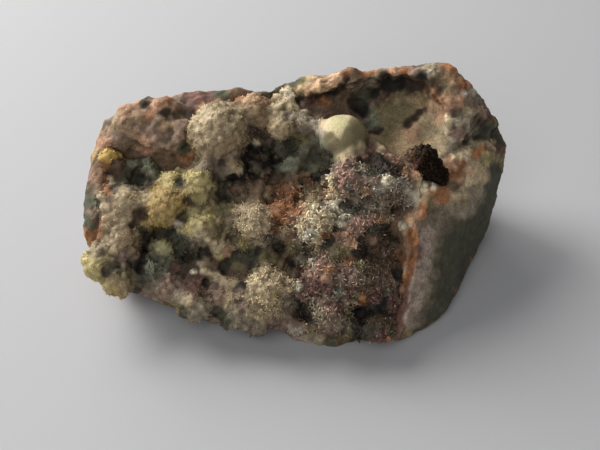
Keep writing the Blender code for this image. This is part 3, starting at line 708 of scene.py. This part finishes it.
def bumps(points, beads, reach):
    """Half-round bumps over the beads: 0.5 on top of them and -0.5 between them."""
    tree = place_tree(beads)
    away = np.array([tree.find(point)[2] for point in points.tolist()])
    return np.sqrt(np.clip(1 - (away / reach) ** 2, 0, 1)) - 0.5


def scatter(surface, wanted, spacing, rng):
    """Places over the surface at least spacing apart, with their normals; wanted is each point's chance."""
    corners = surface.faces
    area = np.linalg.norm(surface.face_normals(), axis=1) / 2
    chance = area * wanted[corners].mean(axis=1)
    tries = int(TRIES_PER_PLACE * chance.sum() / spacing**2)
    face = rng.choice(len(corners), tries, p=chance / chance.sum())
    shares = rng.dirichlet((1, 1, 1), tries)
    normals = surface.normals()
    places = np.einsum("ij,ijk->ik", shares, surface.points[corners[face]])
    facing = unit(np.einsum("ij,ijk->ik", shares, normals[corners[face]]))
    tree = place_tree(places)
    free = np.ones(tries, bool)
    kept = []
    for i, place in enumerate(places.tolist()):
        if free[i]:
            kept.append(i)
            free[[hit[1] for hit in tree.find_range(place, spacing)]] = False
    return places[kept], facing[kept]


def sideways(normals, rng):
    """A random way across each normal."""
    return unit(np.cross(normals, unit(rng.normal(size=normals.shape))))


def openness(surface, rng):
    """From 0 deep in a crevice to 1 on open ground: the share of rays that leave each point freely."""
    tree = tree_of(surface)
    normals = surface.normals()
    side = sideways(normals, rng)
    other = np.cross(normals, side)
    free = np.zeros(len(normals))
    starts = [Vector(place) for place in (surface.points + normals * RAY_START).tolist()]
    for i in range(RAYS):
        turn = GOLDEN_ANGLE * i
        lean = math.sqrt((i + 0.5) / RAYS) * RAY_SPREAD
        flat = math.cos(turn) * side + math.sin(turn) * other
        ways = (lean * flat + math.sqrt(1 - lean**2) * normals).tolist()
        for k, start in enumerate(starts):
            free[k] += tree.ray_cast(start, ways[k], RAY_LENGTH)[0] is None
    return free / RAYS


def dimmed(light, darkest):
    """Painted shade: brightness from darkest deep in a crevice to 1 on open ground."""
    return darkest + (1 - darkest) * light


def covered(surface, cover):
    """True at the points whose outward side lies close against the covering piece."""
    result = np.zeros(len(surface.points), bool)
    starts = zip(surface.points.tolist(), surface.normals().tolist(), strict=True)
    for i, (point, normal) in enumerate(starts):
        result[i] = cover.ray_cast(point, normal, HIDDEN_WITHIN)[0] is not None
    return result


def seen(points):
    """Where the camera's lines of sight to the points cross the face: across and up."""
    return points[:, :2] * (CAMERA_DISTANCE / (CAMERA_DISTANCE - points[:, 2:]))


def spread(points, patches):
    """From 0 outside the patches to their own amount inside them."""
    place = seen(points)
    amount = np.zeros(len(points))
    for across, up, radius, most in patches:
        away = np.hypot(place[:, 0] - across, place[:, 1] - up) / radius
        amount = np.maximum(amount, most * np.clip((PATCH_END - away) / PATCH_FADE, 0, 1))
    return amount


def on_surface(tree, across, up):
    """Where the camera's line of sight through a place on the face meets the surface, and its normal."""
    eye = Vector((0, 0, CAMERA_DISTANCE))
    return tree.ray_cast(eye, Vector((across, up, 0)) - eye)[:2]


def knobs_and_pits(surface, marks):
    """The balls of the marks that rise, and how far the marks that sink push each point of the surface."""
    tree = tree_of(surface)
    centres, radii = [], []
    depth = np.zeros(len(surface.points))
    for across, up, radius, _, rise in marks:
        hit, normal = on_surface(tree, across, up)
        if hit is None or rise == 0:
            continue
        if rise > 0:
            centres.append(hit - normal * (radius - rise))
            radii.append(radius)
        else:
            away = np.sum((surface.points - np.array(hit)) ** 2, axis=1) / radius**2
            depth = np.minimum(depth, rise * np.exp(-(away**PIT_STEEPNESS)))
    return np.array(centres).reshape(-1, 3), np.array(radii), PIT_DEPTH * depth


def wandering(points):
    """The points' places as the camera sees them, stirred so that no edge is a clean curve."""
    coarse = np.stack([wave(points, COARSE_STIR[0], 3), wave(points, COARSE_STIR[0], 5)], axis=1)
    fine = np.stack([wave(points, FINE_STIR[0], 4), wave(points, FINE_STIR[0], 6)], axis=1)
    return seen(points) + COARSE_STIR[1] * coarse + FINE_STIR[1] * fine


def mark_colours(points, marks, ground=None):
    """The colour at each point: the marks that reach it, and the ground's own between them."""
    place = wandering(points)
    total = np.zeros((len(points), 3))
    weight = np.zeros(len(points))
    for across, up, radius, name, _ in marks:
        away = ((place[:, 0] - across) ** 2 + (place[:, 1] - up) ** 2) / radius**2
        near = np.exp(-MARK_FADE[0] * away ** MARK_FADE[1]) / radius + FAR_WEIGHT / (1 + away) ** 2
        total += near[:, None] * np.array(COLOURS[name])
        weight += near
    if ground is not None:
        shown = np.clip(weight / FULL_WEIGHT, 0, 1)[:, None]
        return ground * (1 - shown) + total / weight[:, None] * shown
    return total / weight[:, None]


def ground_colours(points):
    """The rock's colours away from the marks: soft stretches of each in turn."""
    total = np.zeros((len(points), 3))
    weight = np.zeros(len(points))
    for i, name in enumerate(GROUND_COLOURS):
        share = np.exp(GROUND_CONTRAST * waves(points, GROUND_SPREAD, 3, seed=60 + 5 * i))
        total += share[:, None] * np.array(COLOURS[name])
        weight += share
    return total / weight[:, None]


def add_piece(name, points, faces, colours, material):
    """A finished piece in the world, which rides on the specimen's one body."""
    placed = moved(points, TO_WORLD)
    placed[:, 2] = np.maximum(placed[:, 2], 0)  # nothing reaches below the flat underside
    mesh = mesh_of(name, placed, faces)
    tint = mesh.color_attributes.new("tint", "FLOAT_COLOR", "POINT")
    rgba = np.ones((len(points), 4), np.float32)
    rgba[:, :3] = np.clip(colours, 0, 1)
    tint.data.foreach_set("color", rgba.ravel())
    mesh.materials.append(material)
    ob = bpy.data.objects.new(name, mesh)
    bpy.context.scene.collection.objects.link(ob)
    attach(ob, "root")
    return ob


def link(tree, source, target):
    tree.links.new(source, target)


def noise_node(tree, wavelength, detail, roughness=0.6):
    place = tree.nodes.new("ShaderNodeTexCoord")
    node = tree.nodes.new("ShaderNodeTexNoise")
    node.inputs["Scale"].default_value = 1 / (wavelength * MM)
    node.inputs["Detail"].default_value = detail
    node.inputs["Roughness"].default_value = roughness
    link(tree, place.outputs["Object"], node.inputs["Vector"])
    return node.outputs["Fac"]


def range_node(tree, value, low, high, to_low, to_high):
    node = tree.nodes.new("ShaderNodeMapRange")
    link(tree, value, node.inputs["Value"])
    sockets = ("From Min", "From Max", "To Min", "To Max")
    for socket, number in zip(sockets, (low, high, to_low, to_high), strict=True):
        node.inputs[socket].default_value = number
    return node.outputs["Result"]


def mix_node(tree, kind, factor, first, second):
    """Mixes two colours; each of factor and second is a socket or a plain value."""
    node = tree.nodes.new("ShaderNodeMix")
    node.data_type = "RGBA"
    node.blend_type = kind
    for socket, value in ((node.inputs[0], factor), (node.inputs[6], first), (node.inputs[7], second)):
        if isinstance(value, bpy.types.NodeSocket):
            link(tree, value, socket)
        else:
            socket.default_value = value
    return node.outputs[2]


def tinted_material(name):
    """A mineral surface: the mesh's tint with its painted shade, with fine speckle, cloudy staining and a
    grain.
    """
    speckle, stain, roughness, bump, shine = MATERIALS[name]
    mat = bpy.data.materials.new(name)
    mat.use_nodes = True
    tree = mat.node_tree
    shader = tree.nodes["Principled BSDF"]
    tint = tree.nodes.new("ShaderNodeAttribute")
    tint.attribute_name = "tint"
    fine = noise_node(tree, speckle[0], 3)
    light = range_node(tree, fine, *NOISE_RANGE, *speckle[1:])
    lit = mix_node(tree, "MULTIPLY", 1.0, tint.outputs["Color"], light)
    cloud = range_node(tree, noise_node(tree, stain[0], 4), *CLOUD_RANGE, 0, stain[2])
    stained = mix_node(tree, "MIX", cloud, lit, (*COLOURS[stain[1]], 1))
    link(tree, stained, shader.inputs["Base Color"])
    link(tree, range_node(tree, fine, *NOISE_RANGE, *roughness), shader.inputs["Roughness"])
    shader.inputs["Specular IOR Level"].default_value = shine
    grain = tree.nodes.new("ShaderNodeBump")
    grain.inputs["Distance"].default_value = bump[1] * MM
    grain.inputs["Strength"].default_value = BUMP_STRENGTH
    link(tree, noise_node(tree, bump[0], 4, roughness=0.7), grain.inputs["Height"])
    link(tree, grain.outputs["Normal"], shader.inputs["Normal"])
    return mat


def crust_surface(rock_tree, rng):
    """The crust under its needles: lumps and beads on a body drawn in a little from the CAD solid."""
    body = remeshed(cad_surface("aragonite_crust"), BODY_VOXEL)
    hidden = covered(body, rock_tree)
    body.points = body.smoothed(rounds=8)
    open_side = (~hidden) * (1 - spread(body.points, BARE_PATCHES))
    body.push(np.where(hidden, 0, -CRUST_DRAWN_IN * (1 - spread(body.points, BARE_PATCHES[:1]))))
    centres, radii, depth = knobs_and_pits(body, CRUST_MARKS)
    body.push(np.where(hidden, 0, depth))
    lumps, facing = scatter(body, open_side, LUMP_SPACING, rng)
    sizes = LUMP_RADIUS[0] + (LUMP_RADIUS[1] - LUMP_RADIUS[0]) * rng.random(len(lumps)) ** 1.5
    centres = np.concatenate([centres, lumps - facing * (sizes * LUMP_SUNK)[:, None]])
    radii = np.concatenate([radii, sizes])
    surface = remeshed(with_balls(body, centres, radii), CRUST_VOXEL)
    hidden = covered(surface, rock_tree)
    surface.points = surface.smoothed(rounds=2)
    rough = 1 - spread(surface.points, BARE_PATCHES)
    coarse = remeshed(surface, BODY_VOXEL)
    light = from_nearest(surface.points, coarse.points, openness(coarse, rng))
    beads, facing = scatter(surface, (~hidden) * rough, BEAD_SPACING, rng)
    bead = bumps(surface.points, beads, BEAD_REACH * BEAD_SPACING)
    grain = CRUST_GRAIN[1] * (0.5 + rough) * waves(surface.points, CRUST_GRAIN[0], 2, seed=21)
    surface.push(np.where(hidden, 0, BEAD_HEIGHT * bead * rough + grain))
    return surface, light, beads, facing


def crust_piece(surface, light):
    """The crust, with painted shade in its gaps and under its needles."""
    rough = 1 - spread(surface.points, BARE_PATCHES)
    felt = spread(surface.points, NEEDLED_PATCHES)
    strength, darkest, lightest = CRUST_RELIEF_SHADE
    relief = strength * surface.relief(rounds=10)
    under_needle_shade = (SHADE_UNDER_NEEDLES[0] + SHADE_UNDER_NEEDLES[1] * felt) * rough
    shade = np.clip(1.0 - under_needle_shade + relief, darkest, lightest)
    tint = mark_colours(surface.points, CRUST_MARKS) * (shade * dimmed(light, CRUST_DARKEST))[:, None]
    mat = tinted_material("aragonite_crust")
    piece = add_piece("aragonite_surface", surface.points, surface.faces, tint, mat)
    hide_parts("aragonite_crust")


def rods(roots, ways, bends, lengths, widths):
    """Bent three-sided crystals from their roots along their ways, as one mesh: points and faces."""
    half = lengths[:, None] / 2
    middles = roots + ways * half
    tips = middles + unit(ways + bends) * half
    side = unit(np.cross(ways, unit(bends + 1e-6)))
    other = np.cross(ways, side)
    rings = []
    for place, share in zip((roots, middles, tips), NEEDLE_RINGS, strict=True):
        for turn in (0, 2 * math.pi / 3, 4 * math.pi / 3):
            spoke = math.cos(turn) * side + math.sin(turn) * other
            rings.append(place + spoke * share * widths[:, None] / 2)
    points = np.stack(rings, axis=1).reshape(-1, 3)
    one = [(0, 2, 1), (6, 7, 8)]
    for low, i in itertools.product((0, 3), range(3)):
        j = (i + 1) % 3
        one += [(low + i, low + j, low + j + 3), (low + i, low + j + 3, low + i + 3)]
    faces = (np.array(one)[None] + len(rings) * np.arange(len(roots))[:, None, None]).reshape(-1, 3)
    return points, faces


def between(span, count, rng):
    return rng.uniform(span[0], span[1], count)


def blended(spans, amount, rng):
    """A value for each needle, from the velvety span where amount is 0 to the needled one where it is 1."""
    first, second = (between(span, len(amount), rng) for span in spans)
    return first + (second - first) * amount


def bead_rods(beads, facing, needled, rng):
    """Which bead each needle belongs to, with its root, way, bend, length and width."""
    counts = blended(NEEDLES_ON_A_BEAD, needled, rng).astype(int)
    owner = np.repeat(np.arange(len(beads)), counts)
    normal = facing[owner]
    amount = needled[owner]
    side = sideways(normal, rng)
    upright = blended(NEEDLE_LEAN, amount, rng)
    ways = unit(upright[:, None] * normal + np.sqrt(1 - upright**2)[:, None] * side)
    bends = between(NEEDLE_BEND, len(owner), rng)[:, None] * unit(rng.normal(size=normal.shape))
    lengths = blended(NEEDLE_LENGTH, amount, rng) * np.exp(rng.normal(0, LENGTH_VARIATION, len(beads)))[owner]
    widths = blended(NEEDLE_WIDTH, amount, rng)
    roots = beads[owner] - normal * NEEDLE_SUNK + NEEDLE_ASIDE * sideways(normal, rng)
    return owner, roots, ways, bends, lengths, widths


def needle_tints(roots, ways, owner, felt, open_sky, rng):
    """Each needle's colours at its three rings, with painted shade in crevices and at the root and painted
    light at the tip.
    """
    colours = mark_colours(roots + COLOUR_PLACE * ways, CRUST_MARKS)
    colours *= dimmed(open_sky, CRUST_DARKEST)[:, None]
    bead_tone = np.exp(rng.normal(0, BEAD_VARIATION, owner[-1] + 1))[owner]
    needle_tone = np.exp(rng.normal(0, NEEDLE_VARIATION[0] + NEEDLE_VARIATION[1] * felt))
    own = colours * (bead_tone * needle_tone)[:, None]
    chance = WHITE_NEEDLES * felt * open_sky * np.clip(colours.mean(axis=1) / WHITE_FROM, 0, 1)
    white = rng.uniform(0, 1, len(owner)) < chance
    own[white] = (1 - WHITE_SHARE) * own[white] + WHITE_SHARE * np.array(COLOURS["white"])
    # Painted shade towards each needle's root and painted light towards its tip
    painted_shade = np.stack([velvet + added * felt for velvet, added in NEEDLE_PAINTED_SHADE], axis=1)
    return (own[:, None] * painted_shade[:, :, None]).repeat(3, axis=1)


def needle_pieces(surface, light, beads, facing, rng):
    """The felt of needles over the crust, in pieces small enough to be kept."""
    needled = spread(beads, NEEDLED_PATCHES)
    owner, *shape = bead_rods(beads, facing, needled, rng)
    open_sky = from_nearest(beads, surface.points, light)[owner]
    tints = needle_tints(shape[0], shape[1], owner, needled[owner], open_sky, rng)
    mat = tinted_material("aragonite_needles")
    count = math.ceil(len(owner) * NEEDLE_FACES / FACES_A_PIECE)
    for i in range(count):
        part = slice(i * len(owner) // count, (i + 1) * len(owner) // count)
        points, faces = rods(*(values[part] for values in shape))
        add_piece(f"aragonite_needles_{i + 1}", points, faces, tints[part].reshape(-1, 3), mat)


def rock_surface(crust_tree, rng):
    """The stone: knobs and pits on the CAD solid, with lumps where it is grainy."""
    body = remeshed(cad_surface("matrix"), BODY_VOXEL)
    hidden = covered(body, crust_tree)
    body.points = body.smoothed(rounds=2)
    centres, radii, depth = knobs_and_pits(body, ROCK_MARKS)
    body.push(np.where(hidden, 0, depth))
    grainy = spread(body.points, GRAINY_PATCHES) * (body.normals()[:, 2] > 0)
    lumps, facing = scatter(body, (~hidden) * grainy, GRAIN_SPACING, rng)
    sizes = between(GRAIN_RADIUS, len(lumps), rng)
    centres = np.concatenate([centres, lumps - facing * (GRAIN_SUNK * sizes)[:, None]])
    radii = np.concatenate([radii, sizes])
    surface = remeshed(with_balls(body, centres, radii), ROCK_VOXEL)
    hidden = covered(surface, crust_tree)
    surface.points = surface.smoothed(rounds=1)
    return surface, hidden


def fibres(points):
    """Long grain along the way of the fibres, from -1 to 1."""
    along = points[:, 0] * FIBRES[0] + points[:, 1] * FIBRES[1]
    across = points[:, 1] * FIBRES[0] - points[:, 0] * FIBRES[1]
    return waves(np.stack([along / FIBRE_LENGTH, across, points[:, 2]], axis=1), FIBRE_WIDTH, 2, seed=71)


def rock_piece(crust_tree, rng):
    """The stone with its grain, its colours in front and its plainer ground behind."""
    surface, hidden = rock_surface(crust_tree, rng)
    light = openness(surface, rng)
    under = moved(surface.points, TO_WORLD)[:, 2] < UNDERSIDE * MM
    front = np.clip(surface.normals()[:, 2] / FRONT_FADE, 0, 1)
    kinds = (GRAINY_PATCHES, SMOOTH_PATCHES, FIBROUS_PATCHES)
    grainy, smooth, fibrous = (spread(surface.points, patches) * front for patches in kinds)
    beads, _ = scatter(surface, (~hidden) * grainy, BEAD_SPACING, rng)
    bead = bumps(surface.points, beads, GRAIN_REACH)
    swells = SWELLS[1] * waves(surface.points, SWELLS[0], 5, seed=41)
    creases = CREASES[1] * np.abs(waves(surface.points, CREASES[0], 4, seed=51))
    broken = (swells - creases + LEVEL) * (1 - np.maximum(GRAINY_SHARE * grainy, smooth))
    grain = fibrous * fibres(surface.points)
    height = broken + BEAD_HEIGHT * bead * grainy + FIBRE_HEIGHT * grain - ROCK_DRAWN_IN
    surface.push(np.where(hidden | under, 0, height))
    ground = ground_colours(surface.points)
    marked = mark_colours(surface.points, ROCK_MARKS, ground)
    colours = front[:, None] * marked + (1 - front[:, None]) * ground
    mottle = np.exp(MOTTLE[1] * waves(surface.points, MOTTLE[0], 3, seed=81))
    # Painted shade in hollows and crevices, and painted light on rises
    strength, darkest, lightest = ROCK_RELIEF_SHADE
    relief = strength * surface.relief(rounds=8)
    shade = np.clip(1.0 + relief, darkest, lightest) * dimmed(light, ROCK_DARKEST)
    tint = colours * (shade * (1 + FIBRE_SHADE * grain) * mottle)[:, None]
    mat = tinted_material("host_rock")
    piece = add_piece("rough_rock", surface.points, surface.faces, tint, mat)
    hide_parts("matrix")


def cluster_piece(rng):
    """The dark crystals: small blocks at all angles, crowded over the CAD solid."""
    body = remeshed(cad_surface("iron_oxide_cluster"), CLUSTER_VOXEL)
    places, facing = scatter(body, np.ones(len(body.points)), BLOCK_SPACING, rng)
    cube = np.array(list(itertools.product((-0.5, 0.5), repeat=3)))
    sides = np.array([
        (0, 1, 3), (0, 3, 2), (4, 6, 7), (4, 7, 5), (0, 4, 5), (0, 5, 1),
        (2, 3, 7), (2, 7, 6), (0, 2, 6), (0, 6, 4), (1, 5, 7), (1, 7, 3),
    ])
    points, faces = [body.points], [body.faces]
    start = len(body.points)
    for place, way in zip(places, facing, strict=True):
        turn = np.array(Euler(rng.uniform(0, 2 * math.pi, 3)).to_matrix())
        length = rng.uniform(*BLOCK_LENGTH)
        size = length * np.array([1.0, rng.uniform(*BLOCK_WIDTH), rng.uniform(*BLOCK_THICKNESS)])
        points.append(place + way * rng.uniform(*BLOCK_LIFT) + (cube * size) @ turn.T)
        faces.append(sides + start)
        start += len(cube)
    points = np.concatenate(points)
    tint = mark_colours(points, CLUSTER_MARKS) * np.exp(rng.normal(0, BLOCK_VARIATION, len(points)))[:, None]
    mat = tinted_material("iron_oxide")
    piece = add_piece("iron_oxide_crystals", points, np.concatenate(faces), tint, mat)
    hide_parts("iron_oxide_cluster")


def floor():
    bpy.ops.mesh.primitive_plane_add(size=3.0, location=(0, 0, 0))
    plane = bpy.context.object
    plane.name = "floor"
    mat = bpy.data.materials.new("floor")
    mat.use_nodes = True
    shader = mat.node_tree.nodes["Principled BSDF"]
    shader.inputs["Base Color"].default_value = FLOOR_COLOUR
    shader.inputs["Roughness"].default_value = 0.9
    plane.data.materials.append(mat)


def area_light(name, place, size, power, colour):
    """A square light at a place in millimetres that looks at the specimen's middle."""
    data = bpy.data.lights.new(name, "AREA")
    data.size = size * MM
    data.energy = power
    data.color = colour
    ob = bpy.data.objects.new(name, data)
    bpy.context.scene.collection.objects.link(ob)
    ob.location = Vector(place) * MM
    ob.rotation_euler = (-(ob.location - Vector((0, 0, 15 * MM)))).to_track_quat("-Z", "Y").to_euler()


def lights():
    area_light("key", (-420, 260, 390), 380, 3.8, (1.0, 0.99, 0.97))
    area_light("back", (-300, 400, 280), 520, 2.2, (1.0, 0.99, 0.97))
    area_light("fill", (-120, -360, 400), 400, 1.0, (0.99, 0.99, 1.0))
    world = bpy.data.worlds.new("studio")
    world.use_nodes = True
    world.node_tree.nodes["Background"].inputs["Color"].default_value = (0.95, 0.97, 1.0, 1)
    world.node_tree.nodes["Background"].inputs["Strength"].default_value = 0.16
    bpy.context.scene.world = world
    bpy.context.scene.view_settings.view_transform = "Standard"


def camera():
    data = bpy.data.cameras.new("camera")
    data.lens = CAMERA_LENS
    data.clip_start = 0.01
    ob = bpy.data.objects.new("camera", data)
    bpy.context.scene.collection.objects.link(ob)
    ob.location = TO_WORLD @ Vector((0, 0, CAMERA_DISTANCE))
    ob.rotation_euler = (math.pi / 2 - FACE_TILT, 0, 0)
    bpy.context.scene.camera = ob


def build():
    rng = np.random.default_rng(SEED)
    rock_tree = tree_of(cad_surface("matrix"))
    crust_tree = tree_of(cad_surface("aragonite_crust"))
    surface, light, beads, facing = crust_surface(rock_tree, rng)
    needle_pieces(surface, light, beads, facing, rng)
    crust_piece(surface, light)
    rock_piece(crust_tree, rng)
    cluster_piece(rng)
    floor()
    lights()
    camera()


build()
